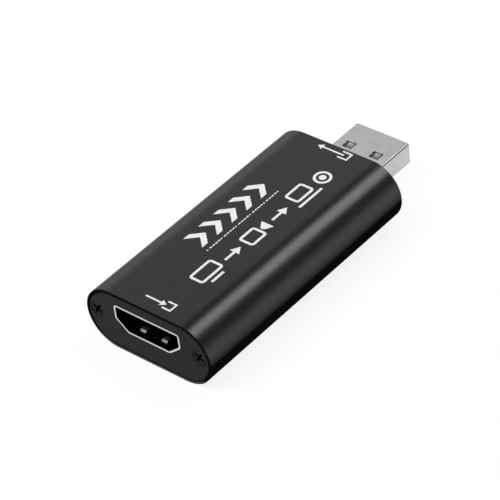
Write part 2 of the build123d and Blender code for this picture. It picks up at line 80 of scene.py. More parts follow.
# Arcs of a printed corner and of a round spot
CORNER_SEGMENTS = 4
DISC_SEGMENTS = 32

# Corner radii of the printed strokes, and half the width of an arrow's head as a share of its length
BAR_CORNER = 1 / 5
ARROW_CORNER = 1 / 6
ARROW_SPREAD = 0.62
CHEVRON_CORNER = 0.08 * MM

# How far the sleeve's roughness drifts below and above its middle
GLOSS_DRIFT = (-0.025, 0.035)

# Where the sleeve takes painted shade, dark and without shine, and how much: its underside, its left
# shoulder, its lip around the covers
UNDERSIDE_FADE = (6.1 * MM, 8.5 * MM)
SHOULDER_FADE = (-10.4 * MM, -8.9 * MM)
SHOULDER_SHARE = 0.62
LIP_FADE = (1.0 * MM, 2.4 * MM)
LIP_SHARE = 0.35

# How far from the edge of a cover its rim of painted shade starts and is full
RIM_START = 0.2 * MM
RIM_FULL = 0.1 * MM

# How far from the flat face of a screw's head its recess, which takes painted shade, starts
RECESS_START = 0.03 * MM

# How far behind its front edge the painted shade inside the socket starts, on its level walls and on its
# sides
LEVEL_SHADE_START = 0.03 * MM
SIDE_SHADE_START = 0.12 * MM

# Length from a finger's tip of its hump, which keeps the metal's own colour, and how softly the painted
# shade behind it starts
HUMP_LENGTH = 1.3 * MM
HUMP_FADE = 0.25 * MM

# Where the plug's moulding takes painted shade, from the plug's tip, and how much
SHELF_FADE = (-6.8 * MM, -5.8 * MM)
SHELF_SHADE = 0.97

# Scale of the waves that draw the board's glass threads, one each 0.63 mm, and how much they show
THREAD_SCALE = 500
THREAD_SHARE = 0.25

# How softly the board takes painted shade where the socket covers it, and how much
BOARD_FADE = 0.5 * MM
BOARD_SHADE = 0.95

# Least share of a normal that makes a face a sawn end, a level wall, a front corner, a fold or a side
END_FACING = 0.5
LEVEL_FACING = 0.3
FRONT_FACING = 0.1
FOLD_FACING = 0.2
SIDE_FACING = 0.9

# How much of the painted shade on the plug's folds its sides take
SIDE_SHARE = 0.3

# Each soft lamp's direction from the box, its width and height, and the brightness of its face
LAMPS = (
    ("Band lamp", (0.215, 0.56, 0.80), (0.19, 0.30), 4.7),
    ("Left softbox", (-0.74, 0.55, 0.40), (0.46, 0.50), 0.62),
    ("Front softbox", (-0.40, -0.48, 0.78), (0.45, 0.40), 3.05),
)
LAMP_TARGET = (0, 0, 6 * MM)

# The camera, fitted to the standard sizes of the socket and the plug: how it is turned, the point that
# it is turned about, and how far it stands to the right, up and back from that point in its own frame
CAMERA_AZIMUTH = math.radians(43.8668)
CAMERA_ELEVATION = math.radians(39.1061)
CAMERA_ROLL = math.radians(-7.0927)
CAMERA_TARGET = (0, -6.5 * MM, 6.25 * MM)
CAMERA_OFFSET = (0.4482 * MM, 0.3955 * MM, 435.0761 * MM)
SENSOR_WIDTH = 36

# Places that the printed marks and the finishes follow
SLEEVE_LOW, SLEEVE_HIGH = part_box("sleeve")
SOCKET_LOW, SOCKET_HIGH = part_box("input_socket_shell")
SOCKET_MIDDLE = (SOCKET_LOW.z + SOCKET_HIGH.z) / 2
FINGER_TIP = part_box("input_socket_finger_lower_left")[0].y
PLUG_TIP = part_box("output_plug_shell")[1].y
INPUT_END = SLEEVE_LOW.y
OUTPUT_END = SLEEVE_HIGH.y
TOP = SLEEVE_HIGH.z


class CasingLook(bpy.types.PropertyGroup):
    """Looks of the sleeve, its covers and their screws."""

    sleeve_dark: FloatVectorProperty(
        name="Sleeve colour",
        description="The darker tone of the sleeve's anodising",
        subtype="COLOR",
        default=(0.0055, 0.0055, 0.0058),
        min=0,
        max=1,
    )
    sleeve_light: FloatVectorProperty(
        name="Sleeve drift colour",
        description="The lighter tone that the anodising drifts to",
        subtype="COLOR",
        default=(0.0085, 0.0085, 0.0088),
        min=0,
        max=1,
    )
    cover_dark: FloatVectorProperty(
        name="Cover colour",
        description="The darker tone of the matt covers",
        subtype="COLOR",
        default=(0.0122, 0.0122, 0.0124),
        min=0,
        max=1,
    )
    cover_light: FloatVectorProperty(
        name="Cover drift colour",
        description="The lighter tone of the matt covers",
        subtype="COLOR",
        default=(0.0155, 0.0155, 0.0158),
        min=0,
        max=1,
    )
    sleeve_gloss: FloatProperty(
        name="Sleeve roughness",
        description="Middle roughness of the blasted and anodised sleeve",
        subtype="FACTOR",
        default=0.27,
        min=0,
        max=1,
    )
    sleeve_round: FloatProperty(
        name="Sleeve edge rounding",
        description="How far the sleeve's edges are rounded off",
        unit="LENGTH",
        default=0.03 * MM,
        min=0,
    )
    cover_round: FloatProperty(
        name="Cover edge rounding",
        description="How far the covers' edges are rounded off",
        unit="LENGTH",
        default=0.04 * MM,
        min=0,
    )
    screw_round: FloatProperty(
        name="Screw edge rounding",
        description="How far the edges of the screws are rounded off",
        unit="LENGTH",
        default=0.02 * MM,
        min=0,
    )


class PortLook(bpy.types.PropertyGroup):
    """Looks of the input socket and the output plug."""

    socket_metal: FloatVectorProperty(
        name="Socket metal",
        description="Plating of the socket's front edge",
        subtype="COLOR",
        default=(0.66, 0.655, 0.64),
        min=0,
        max=1,
    )
    # Painted shade: the dark that stands for the shade inside the socket and behind the fingers' humps
    socket_inside_shade: FloatVectorProperty(
        name="Socket lining",
        description="Dark tone of the metal inside the socket",
        subtype="COLOR",
        default=(0.02, 0.02, 0.021),
        min=0,
        max=1,
    )
    plug_dark: FloatVectorProperty(
        name="Plug colour",
        description="The darker tone of the plug's satin nickel",
        subtype="COLOR",
        default=(0.61, 0.598, 0.585),
        min=0,
        max=1,
    )
    plug_light: FloatVectorProperty(
        name="Plug drift colour",
        description="The lighter tone of the plug's satin nickel",
        subtype="COLOR",
        default=(0.68, 0.667, 0.653),
        min=0,
        max=1,
    )
    contact_gold: FloatVectorProperty(
        name="Contact gold",
        description="Colour of the plated contacts",
        subtype="COLOR",
        default=(0.83, 0.60, 0.26),
        min=0,
        max=1,
    )
    edge_round: FloatProperty(
        name="Port edge rounding",
        description="How far the edges of the bent sheet are rounded off",
        unit="LENGTH",
        default=0.05 * MM,
        min=0,
    )
    ring_round: FloatProperty(
        name="Ring edge rounding",
        description="How far the edges of the socket's shell are rounded off",
        unit="LENGTH",
        default=0.09 * MM,
        min=0,
    )
    moulding_round: FloatProperty(
        name="Moulding edge rounding",
        description="How far the edges of the mouldings are rounded off",
        unit="LENGTH",
        default=0.06 * MM,
        min=0,
    )


class PrintLook(bpy.types.PropertyGroup):
    """Looks and sizes of the white marks printed on top of the sleeve."""

    ink: FloatVectorProperty(
        name="Ink colour",
        description="Colour of the printed marks",
        subtype="COLOR",
        default=(0.96, 0.96, 0.95),
        min=0,
        max=1,
    )
    ink_thickness: FloatProperty(
        name="Ink thickness",
        description="Height of the printed ink over the sleeve",
        unit="LENGTH",
        default=0.01 * MM,
        min=0.001 * MM,
    )
    thin_stroke: FloatProperty(
        name="Thin stroke",
        description="Line width of the marks at the two ends",
        unit="LENGTH",
        default=0.36 * MM,
        min=0.05 * MM,
    )
    stroke: FloatProperty(
        name="Stroke",
        description="Line width of the row of pictures",
        unit="LENGTH",
        default=0.52 * MM,
        min=0.05 * MM,
    )
    chevron_count: IntProperty(
        name="Chevrons",
        description="Number of bold chevrons in the flow mark",
        default=5,
        min=1,
    )
    dash_count: IntProperty(
        name="Dashes",
        description="Number of dashes in the fine line",
        default=26,
        min=1,
    )


class BoardLook(bpy.types.PropertyGroup):
    """Looks of the circuit board and what is soldered to it."""

    mask: FloatVectorProperty(
        name="Board colour",
        description="Colour of the board's solder mask",
        subtype="COLOR",
        default=(0.012, 0.115, 0.045),
        min=0,
        max=1,
    )
    tin: FloatVectorProperty(
        name="Tinned metal",
        description="Colour of leads, pads and solder",
        subtype="COLOR",
        default=(0.62, 0.63, 0.64),
        min=0,
        max=1,
    )


class StageLook(bpy.types.PropertyGroup):
    """The floor, the soft lamps and the camera."""

    floor_colour: FloatVectorProperty(
        name="Floor colour",
        description="Colour of the plain floor",
        subtype="COLOR",
        default=(0.86, 0.86, 0.86),
        min=0,
        max=1,
    )
    floor_lift: FloatProperty(
        name="Floor lift",
        description="Share of the floor that is plain white, whatever light falls on it",
        subtype="FACTOR",
        default=0.8,
        min=0,
        max=1,
    )
    floor_level: FloatProperty(
        name="Floor level",
        description="Brightness of the floor's plain white",
        default=1.09,
        min=0,
    )
    floor_size: FloatProperty(
        name="Floor size",
        description="Half the floor's width",
        unit="LENGTH",
        default=2.0,
        min=0.2,
    )
    lamp_distance: FloatProperty(
        name="Lamp distance",
        description="Distance of the lamps from the box",
        unit="LENGTH",
        default=0.5,
        min=0.1,
    )
    lens: FloatProperty(
        name="Focal length",
        description="Focal length of the camera, in millimetres on a 36 mm sensor",
        unit="CAMERA",
        default=179.23,
        min=10,
    )


def look(name):
    """One of the property groups on the scene."""
    return getattr(bpy.context.scene, f"capture_box_{name}")


def rgba(colour):
    """A colour with full opacity."""
    return (*colour, 1.0)


def grey(level):
    """A grey of the given level."""
    return (level, level, level)


def shaded(colour, level):
    """A colour made darker or lighter, where a level of one leaves it as it is."""
    return Vector(colour) * level


def shader_node(tree, kind, inputs=None, **settings):
    """A new node with its settings, and a value or a link for each named input."""
    made = tree.nodes.new(kind)
    for key, value in settings.items():
        setattr(made, key, value)
    for key, value in (inputs or {}).items():
        socket = made.inputs[key]
        if isinstance(value, bpy.types.NodeSocket):
            tree.links.new(value, socket)
        else:
            socket.default_value = value
    return made


def place_on_piece(tree):
    """The place of each point, in the frame that all the pieces share."""
    return shader_node(tree, "ShaderNodeTexCoord").outputs["Object"]


def place_along(tree, axis):
    """Each point's place along one axis."""
    return shader_node(tree, "ShaderNodeSeparateXYZ", {0: place_on_piece(tree)}).outputs[axis]


def face_mark(tree, layer):
    """The mark from zero to one that a face was given in the named layer."""
    return shader_node(tree, "ShaderNodeAttribute", attribute_name=layer).outputs["Fac"]


def noise(tree, place, size, detail):
    """Noise with features of about the given size, in metres."""
    made = shader_node(tree, "ShaderNodeTexNoise", {"Vector": place, "Scale": 1 / size, "Detail": detail})
    return made.outputs["Fac"]


def spread(tree, value, low, high, source=NOISE_RANGE):
    """A value mapped from the usual range of noise, or from the given one, to another range."""
    inputs = {"Value": value, "From Min": source[0], "From Max": source[1], "To Min": low, "To Max": high}
    return shader_node(tree, "ShaderNodeMapRange", inputs).outputs["Result"]


def blend_colours(tree, factor, first, second):
    """A mix of two colours, each a socket or a plain colour.

    The Mix node takes colours in its inputs 6 and 7, and gives their mix in its output 2."""
    inputs = {0: factor, 6: first, 7: second}
    return shader_node(tree, "ShaderNodeMix", inputs, data_type="RGBA").outputs[2]


def calculate(tree, operation, first, second, clamp=False):
    """One sum, product or comparison of two values or sockets."""
    inputs = {0: first, 1: second}
    made = shader_node(tree, "ShaderNodeMath", inputs, operation=operation, use_clamp=clamp)
    return made.outputs[0]


def finish(name, dark, light, roughness, grain, relief, drift, stretch=(1, 1, 1), edge_wear_and_shade=None, **surface):
    """A finish whose tone drifts between two colours, with a fine grain in its gloss and relief.

    The wear colour, if there is one, shows in patches on faces marked as rounded edges. A finish
    that has been made before is given again."""
    known = bpy.data.materials.get(name)
    if known:
        return known
    material = bpy.data.materials.new(name)
    material.use_nodes = True
    tree = material.node_tree
    shader = tree.nodes["Principled BSDF"]
    place = place_on_piece(tree)
    stretched = shader_node(tree, "ShaderNodeMapping", {"Vector": place, "Scale": stretch}).outputs[0]
    broad = spread(tree, noise(tree, place, drift, DRIFT_DETAIL), 0.0, 1.0)
    fine = noise(tree, stretched, grain, GRAIN_DETAIL)
    colour = blend_colours(tree, broad, rgba(dark), rgba(light))
    if edge_wear_and_shade is not None:
        patches = spread(tree, noise(tree, place, drift * EDGE_PATCH_SIZE, EDGE_PATCH_DETAIL), EDGE_PATCH_LEAST, 1.0)
        worn_and_shaded = calculate(tree, "MULTIPLY", face_mark(tree, "edge_wear_and_shade_mark"), patches)
        colour = blend_colours(tree, worn_and_shaded, colour, rgba(edge_wear_and_shade))
    tree.links.new(colour, shader.inputs["Base Color"])
    tree.links.new(spread(tree, fine, *roughness), shader.inputs["Roughness"])
    inputs = {"Height": fine, "Strength": RELIEF_STRENGTH, "Distance": relief}
    bump = shader_node(tree, "ShaderNodeBump", inputs)
    tree.links.new(bump.outputs[0], shader.inputs["Normal"])
    for key, value in surface.items():
        shader.inputs[key.replace("_", " ")].default_value = value
    return material


def mix_shaders(tree, factor, first, second):
    """Gives the material's surface a mix of two shaders."""
    inputs = {0: factor, 1: first.outputs[0], 2: second.outputs[0]}
    mixed = shader_node(tree, "ShaderNodeMixShader", inputs)
    tree.links.new(mixed.outputs[0], tree.nodes["Material Output"].inputs["Surface"])


def overlay(material, mask, colour):
    """Lays a second colour over a finish where the mask is one."""
    tree = material.node_tree
    target = tree.nodes["Principled BSDF"].inputs["Base Color"]
    below = target.links[0].from_socket
    tree.links.new(blend_colours(tree, mask, below, rgba(colour)), target)


def painted_shade(material, mask, colour):
    """Turns a glossy finish into a dull one of the given colour where the mask is one."""
    tree = material.node_tree
    inputs = {"Base Color": rgba(colour), "Roughness": SHADE_ROUGHNESS, "Specular IOR Level": 0.0}
    shade_shader = shader_node(tree, "ShaderNodeBsdfPrincipled", inputs)
    mix_shaders(tree, mask, tree.nodes["Principled BSDF"], shade_shader)


def show(obj, body, material):
    """Puts a piece in the scene's collection on its body, with its slot and finish."""
    if obj.name not in bpy.context.scene.collection.objects:
        bpy.context.scene.collection.objects.link(obj)
    obj.data.materials.clear()
    obj.data.materials.append(material)
    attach(obj, body)


def carried(material, *nodes):
    """Gives the parts that keep their own shape their finish."""
    for node in nodes:
        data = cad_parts[node].data
        data.materials.clear()
        data.materials.append(material)


def check_closed(bm, name):
    """Stops the operator if a mesh is empty or has an open or shared edge."""
    faulty = [edge for edge in bm.edges if len(edge.link_faces) != 2]
    if not bm.faces or faulty:
        raise RuntimeError(f"{name}: {len(faulty)} open or shared edges of {len(bm.edges)}")


def object_from(bm, name):
    """An object that takes over the mesh."""
    mesh = bpy.data.meshes.new(name)
    bm.to_mesh(mesh)
    bm.free()
    return bpy.data.objects.new(name, mesh)


def shade_smoothly(obj):
    """Smooth shading that keeps flat faces flat beside their rounded edges."""
    obj.data.shade_smooth()
    bpy.context.scene.collection.objects.link(obj)
    weighted = obj.modifiers.new("Flat faces", "WEIGHTED_NORMAL")
    weighted.keep_sharp = True
    graph = bpy.context.evaluated_depsgraph_get()
    smooth = bpy.data.meshes.new_from_object(
        obj.evaluated_get(graph),
        preserve_all_data_layers=True,
        depsgraph=graph,
    )
    obj.modifiers.clear()
    flat = obj.data
    obj.data = smooth
    bpy.data.meshes.remove(flat)
    smooth.name = obj.name


def eased(node, name, width, segments=2, shape=None):
    """A merged copy of a part with its sharp edges rounded by the given width.

    A shape function, if there is one, changes or marks the mesh before it is shaded."""
    bm = bmesh.new()
    bm.from_mesh(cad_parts[node].data)
    bm.faces.layers.float.new("edge_wear_and_shade_mark")
    bm.faces.layers.float.new("masked")
    edge_wear_and_shade = bm.faces.layers.float["edge_wear_and_shade_mark"]
    bmesh.ops.remove_doubles(bm, verts=bm.verts, dist=MERGE_DISTANCE)
    bmesh.ops.dissolve_limit(bm, angle_limit=FLAT_ANGLE, verts=bm.verts, edges=bm.edges, delimit=set())
    sharp = [edge for edge in bm.edges if edge.is_manifold and edge.calc_face_angle() > EDGE_ANGLE]
    rounded = bmesh.ops.bevel(
        bm,
        geom=sharp,
        offset=width,
        offset_type="OFFSET",
        segments=segments,
        profile=0.5,
        affect="EDGES",
        clamp_overlap=True,
        material=-1,
    )
    for face in rounded["faces"]:
        face[edge_wear_and_shade] = 1.0
    if shape:
        shape(bm)
    for edge in bm.edges:
        edge.smooth = edge.is_manifold and edge.calc_face_angle() < CRISP_ANGLE
    check_closed(bm, name)
    obj = object_from(bm, name)
    shade_smoothly(obj)
    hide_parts(node)
    return obj


def mark_faces(bm, share):
    """Marks each face with the share that a function gives it, for a finish to follow."""
    masked = bm.faces.layers.float["masked"]
    for face in bm.faces:
        face[masked] = float(share(face))


def move(bm, verts, x, y, z=0.0, turn=0.0):
    """Turns vertices about Z and moves them, in metres."""
    matrix = Matrix.Translation((x, y, z)) @ Matrix.Rotation(turn, 4, "Z")
    bmesh.ops.transform(bm, matrix=matrix, verts=verts)


def flat_shape(bm, points, corner):
    """A flat face through a few points, with its corners rounded by the given radius."""
    verts = [bm.verts.new((u, v, 0.0)) for u, v in points]
    bm.faces.new(verts)
    rounded = bmesh.ops.bevel(
        bm,
        geom=verts,
        offset=corner,
        offset_type="OFFSET",
        segments=CORNER_SEGMENTS,
        profile=0.5,
        affect="VERTICES",
        clamp_overlap=True,
        material=-1,
    )
    return next(found for found in bm.faces if set(rounded["verts"]) & set(found.verts))


def box_points(low, high):
    """The four corners of an upright rectangle."""
    return [low, (high[0], low[1]), high, (low[0], high[1])]


def bar(bm, start, end, stroke):
    """A straight stroke between two points, along U or V."""
    half = stroke / 2
    low = (min(start[0], end[0]), min(start[1], end[1]))
    high = (max(start[0], end[0]), max(start[1], end[1]))
    if high[0] - low[0] >= high[1] - low[1]:
        low, high = (low[0], low[1] - half), (high[0], high[1] + half)
    else:
        low, high = (low[0] - half, low[1]), (high[0] + half, high[1])
    flat_shape(bm, box_points(low, high), stroke * BAR_CORNER)


def hollow(bm, face, stroke):
    """Leaves only a border of the stroke's width of a flat face."""
    bmesh.ops.inset_region(bm, faces=[face], thickness=stroke, use_even_offset=True, use_boundary=True)
    bmesh.ops.delete(bm, geom=[face], context="FACES_ONLY")


def frame_shape(bm, low, high, stroke, corner):
    """A rounded frame between two corners."""
    hollow(bm, flat_shape(bm, box_points(low, high), corner), stroke)


def disc(bm, u, v, radius):
    """A filled round spot, which is returned."""
    made = bmesh.ops.create_circle(bm, cap_ends=True, segments=DISC_SEGMENTS, radius=radius)
    move(bm, made["verts"], u, v)
    return next(face for face in bm.faces if face.verts[0] in made["verts"])


def arrow(bm, start, end, level, head, stroke):
    """A straight arrow along U with a filled head."""
    neck = end - head
    spread_out = head * ARROW_SPREAD
    bar(bm, (start, level), (neck, level), stroke)
    points = [(neck, level - spread_out), (end, level), (neck, level + spread_out)]
    flat_shape(bm, points, stroke * ARROW_CORNER)


def chevron(bm, start, height, arm, reach):
    """A bold chevron along U."""
    middle = height / 2
    shoulder = start + arm
    points = [
        (start, 0.0),
        (shoulder, 0.0),
        (shoulder + reach, middle),
        (shoulder, height),
        (start, height),
        (start + reach, middle),
    ]
    flat_shape(bm, points, CHEVRON_CORNER)


def printed(name, draw, origin, turn):
    """A printed mark, from flat shapes that a function draws in U and V.

    They are turned, placed on the sleeve's top and given the ink's thickness."""
    thickness = look("print").ink_thickness
    bm = bmesh.new()
    draw(bm)
    move(bm, bm.verts, *origin, TOP - thickness, turn)
    faces = bmesh.ops.extrude_face_region(bm, geom=bm.faces[:])
    raised = [item for item in faces["geom"] if isinstance(item, bmesh.types.BMVert)]
    bmesh.ops.translate(bm, verts=raised, vec=(0, 0, thickness))
    bmesh.ops.recalc_face_normals(bm, faces=bm.faces)
    check_closed(bm, name)
    show(object_from(bm, name), "box", ink_finish())


def ink_finish():
    """White ink with a little unevenness in its tone and gloss."""
    ink = look("print").ink
    return finish(
        "White ink",
        dark=shaded(ink, 0.93),
        light=ink,
        roughness=(0.42, 0.55),
        grain=0.08 * MM,
        relief=0.004 * MM,
        drift=1.2 * MM,
    )


def nickel_finish(name, dark, light, roughness, stretch=(1, 1, 1)):
    """Plated metal with fine drawing lines and rubbed edges."""
    return finish(
        name,
        dark=dark,
        light=light,
        roughness=roughness,
        grain=0.12 * MM,
        relief=0.001 * MM,
        drift=2.5 * MM,
        stretch=stretch,
        edge_wear_and_shade=shaded(light, 1.25),
        Metallic=1.0,
    )


def gold_finish():
    """Gold plating of the contacts, a little rubbed."""
    gold = look("ports").contact_gold
    return finish(
        "Contact gold",
        dark=shaded(gold, 0.85),
        light=gold,
        roughness=(0.2, 0.34),
        grain=0.06 * MM,
        relief=0.001 * MM,
        drift=0.9 * MM,
        stretch=(1, 0.2, 1),
        Metallic=1.0,
    )


def tin_finish():
    """Bright tin of leads, pads and solder."""
    tin = look("board").tin
    return finish(
        "Bright tin",
        dark=shaded(tin, 0.85),
        light=tin,
        roughness=(0.26, 0.42),
        grain=0.09 * MM,
        relief=0.003 * MM,
        drift=0.8 * MM,
        Metallic=1.0,
    )


def anodised_finish():
    """Satin black anodising, dull on the underside and on the left shoulder."""
    casing = look("casing")
    gloss = casing.sleeve_gloss
    anodised = finish(
        "Black anodising",
        dark=casing.sleeve_dark,
        light=casing.sleeve_light,
        roughness=(gloss + GLOSS_DRIFT[0], gloss + GLOSS_DRIFT[1]),
        grain=0.14 * MM,
        relief=0.001 * MM,
        drift=4 * MM,
        stretch=(1, 0.35, 1),
        edge_wear_and_shade=(0.03, 0.03, 0.031),
    )
    # Painted shade, dark and without shine, on the underside, the left shoulder and the lip around the
    # covers
    painted_shade(anodised, sleeve_shade(anodised.node_tree), casing.sleeve_dark)
    return anodised


def sleeve_shade(tree):
    """How dull the sleeve is: its walls by their height and side, its sawn ends by height alone."""
    height = place_along(tree, "Z")
    underside = spread(tree, height, 1.0, 0.0, UNDERSIDE_FADE)
    shoulder = spread(tree, place_along(tree, "X"), SHOULDER_SHARE, 0.0, SHOULDER_FADE)
    wall = calculate(tree, "MAXIMUM", underside, shoulder)
    lip = spread(tree, height, LIP_SHARE, 1.0, LIP_FADE)
    change = calculate(tree, "SUBTRACT", lip, wall)
    step = calculate(tree, "MULTIPLY", face_mark(tree, "masked"), change)
    return calculate(tree, "ADD", wall, step, clamp=True)


def matt_finish():
    """Matt black paint of the covers, with a dark rim where they meet the sleeve."""
    casing = look("casing")
    matt = finish(
        "Matt black",
        dark=casing.cover_dark,
        light=casing.cover_light,
        roughness=(0.56, 0.68),
        grain=0.1 * MM,
        relief=0.004 * MM,
        drift=2 * MM,
        # Near-black painted shade, in patches, on the rounded edges
        edge_wear_and_shade=grey(0.001),
        Specular_IOR_Level=0.12,
    )
    low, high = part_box("input_end_cover")
    radius = (high.z - low.z) / 2
    reach = distance_from_core(matt.node_tree, high.x - radius, (low.z + high.z) / 2)
    # Painted shade in a dark rim around each cover's edge
    rim_shade = spread(matt.node_tree, reach, 0.0, 1.0, (radius - RIM_START, radius - RIM_FULL))
    overlay(matt, rim_shade, grey(0.003))
    return matt


def distance_from_core(tree, half_length, level):
    """Distance from the level middle line of a round-ended plate, seen from its face."""
    across = calculate(tree, "ABSOLUTE", place_along(tree, "X"), 0.0)
    across = calculate(tree, "SUBTRACT", across, half_length)
    across = calculate(tree, "MAXIMUM", across, 0.0)
    above = calculate(tree, "SUBTRACT", place_along(tree, "Z"), level)
    across_squared = calculate(tree, "MULTIPLY", across, across)
    above_squared = calculate(tree, "MULTIPLY", above, above)
    square = calculate(tree, "ADD", across_squared, above_squared)
    return calculate(tree, "SQRT", square, 0.0)


def oxide_finish():
    """Black oxide of the screws, with nothing shining in their recesses."""
    oxide = finish(
        "Black oxide",
        dark=grey(0.014),
        light=grey(0.019),
        roughness=(0.5, 0.62),
        grain=0.08 * MM,
        relief=0.002 * MM,
        drift=0.8 * MM,
        edge_wear_and_shade=grey(0.012),
        Specular_IOR_Level=0.07,
    )
    # Painted shade, near black and without shine, on every face behind the heads' flat faces, the cross
    # recesses included
    painted_shade(oxide, face_mark(oxide.node_tree, "masked"), grey(0.0005))
    return oxide


def plating_finish():
    """Plated socket shell, bright at its front edge and dark inside."""
    ports = look("ports")
    plating = nickel_finish(
        "Socket plating",
        dark=shaded(ports.socket_metal, 0.9),
        light=ports.socket_metal,
        roughness=(0.24, 0.36),
    )
    # Painted shade inside the shell and on the outer corners of its front edge
    overlay(plating, face_mark(plating.node_tree, "masked"), ports.socket_inside_shade)
    return plating


def spring_finish():
    """Metal of the sprung fingers, polished at their humps and dark behind them."""
    spring = nickel_finish(
        "Spring metal",
        dark=(0.21, 0.21, 0.206),
        light=(0.30, 0.30, 0.294),
        roughness=(0.44, 0.56),
    )
    tree = spring.node_tree
    shade_start = FINGER_TIP + HUMP_LENGTH
    band = (shade_start - HUMP_FADE, shade_start + HUMP_FADE)
    shade_behind = spread(tree, place_along(tree, "Y"), 0.0, 1.0, band)
    # Painted shade on the fingers behind their humps
    overlay(spring, shade_behind, look("ports").socket_inside_shade)
    return spring


def black_moulding_finish():
    """Black plastic of the socket's moulding."""
    return finish(
        "Black moulding",
        dark=grey(0.006),
        light=grey(0.010),
        roughness=(0.45, 0.6),
        grain=0.1 * MM,
        relief=0.003 * MM,
        drift=1.5 * MM,
    )


def satin_finish():
    """Satin nickel of the plug's shell, drawn along its length and darker at its folds."""
    ports = look("ports")
    satin = nickel_finish(
        "Satin nickel",
        dark=ports.plug_dark,
        light=ports.plug_light,
        roughness=(0.2, 0.29),
        stretch=(1, 0.12, 1),
    )
    # Painted shade on the folds, at half the plug's darker tone, and a little of it on the sides
    overlay(satin, face_mark(satin.node_tree, "masked"), shaded(ports.plug_dark, 0.5))
    return satin


def pale_moulding_finish():
    """Pale plastic of the plug's moulding, darker deep inside the shell."""
    pale = finish(
        "Pale moulding",
        dark=(0.37, 0.37, 0.36),
        light=(0.46, 0.46, 0.45),
        roughness=(0.42, 0.55),
        grain=0.1 * MM,
        relief=0.003 * MM,
        drift=1.5 * MM,
        Subsurface_Weight=0.04,
    )
    tree = pale.node_tree
    band = (PLUG_TIP + SHELF_FADE[0], PLUG_TIP + SHELF_FADE[1])
    deep_shade = spread(tree, place_along(tree, "Y"), SHELF_SHADE, 0.0, band)
    # Painted shade on the moulding deep inside the shell
    overlay(pale, deep_shade, grey(0.03))
    return pale


def laminate_finish():
    """Solder mask over the board's woven laminate, darker where the socket covers it."""
    mask = look("board").mask
    laminate = finish(
        "Solder mask",
        dark=shaded(mask, 0.75),
        light=mask,
        roughness=(0.28, 0.4),
        grain=0.2 * MM,
        relief=0.004 * MM,
        drift=2.5 * MM,
        Coat_Weight=0.3,
    )
    tree = laminate.node_tree
    threads = [thread_wave(tree, direction) for direction in ("X", "Y")]
    weave = calculate(tree, "MULTIPLY", *threads)
    overlay(laminate, calculate(tree, "MULTIPLY", weave, THREAD_SHARE), shaded(mask, 1.5))
    band = (SOCKET_HIGH.y - BOARD_FADE, SOCKET_HIGH.y)
    covered_shade = spread(tree, place_along(tree, "Y"), BOARD_SHADE, 0.0, band)
    # Painted shade on the board where the socket covers it
    overlay(laminate, covered_shade, shaded(mask, 0.1))
    return laminate


def thread_wave(tree, direction):
    """The glass threads that follow each other in one direction."""
    inputs = {"Vector": place_on_piece(tree), "Scale": THREAD_SCALE, "Distortion": 0.4}
    return shader_node(tree, "ShaderNodeTexWave", inputs, bands_direction=direction).outputs["Fac"]


def epoxy_finish():
    """Black epoxy of the chips."""
    return finish(
        "Chip epoxy",
        dark=(0.012, 0.012, 0.013),
        light=(0.024, 0.024, 0.026),
        roughness=(0.5, 0.68),
        grain=0.07 * MM,
        relief=0.006 * MM,
        drift=0.4 * MM,
    )


def fired_finish():
    """Fired ceramic of the crystal's base."""
    return finish(
        "Fired ceramic",
        dark=(0.42, 0.37, 0.29),
        light=(0.56, 0.51, 0.42),
        roughness=(0.5, 0.62),
        grain=0.08 * MM,
        relief=0.004 * MM,
        drift=0.7 * MM,
    )


def ferrite_finish():
    """Grey ferrite of the coil's core."""
    return finish(
        "Ferrite",
        dark=(0.045, 0.045, 0.048),
        light=(0.085, 0.083, 0.08),
        roughness=(0.5, 0.7),
        grain=0.1 * MM,
        relief=0.01 * MM,
        drift=0.5 * MM,
    )


def capacitor_finish():
    """Tan ceramic of the capacitors."""
    return finish(
        "Capacitor ceramic",
        dark=(0.33, 0.22, 0.13),
        light=(0.45, 0.32, 0.2),
        roughness=(0.4, 0.5),
        grain=0.06 * MM,
        relief=0.003 * MM,
        drift=0.5 * MM,
    )


def glaze_finish():
    """Black glaze of the resistors."""
    return finish(
        "Resistor glaze",
        dark=(0.015, 0.015, 0.016),
        light=(0.028, 0.028, 0.03),
        roughness=(0.18, 0.3),
        grain=0.06 * MM,
        relief=0.002 * MM,
        drift=0.5 * MM,
    )


class CAPTUREBOX_OT_sleeve(bpy.types.Operator):
    """Round the sleeve's edges and give it its satin black anodising"""

    bl_idname = "capture_box.sleeve"
    bl_label = "Sleeve"

    def execute(self, context):
        thickness = look("print").ink_thickness

        def lower_top(bm):
            """Sinks the flat top by the ink's thickness, and marks the sawn ends."""
            top = [vert for vert in bm.verts if vert.co.z > TOP - thickness]
            bmesh.ops.translate(bm, verts=top, vec=(0, 0, -thickness))
            mark_faces(bm, lambda face: abs(face.normal.y) > END_FACING)

        sleeve = eased("sleeve", "anodised_sleeve", look("casing").sleeve_round, shape=lower_top)
        show(sleeve, "box", anodised_finish())
        return {"FINISHED"}


class CAPTUREBOX_OT_end_covers(bpy.types.Operator):
    """Round the edges of the two end covers and give them their matt black finish"""

    bl_idname = "capture_box.end_covers"
    bl_label = "End covers"

    def execute(self, context):
        matt = matt_finish()
        for end in ("input", "output"):
            plate = eased(f"{end}_end_cover", f"{end}_cover_plate", look("casing").cover_round)
            show(plate, "box", matt)
        return {"FINISHED"}


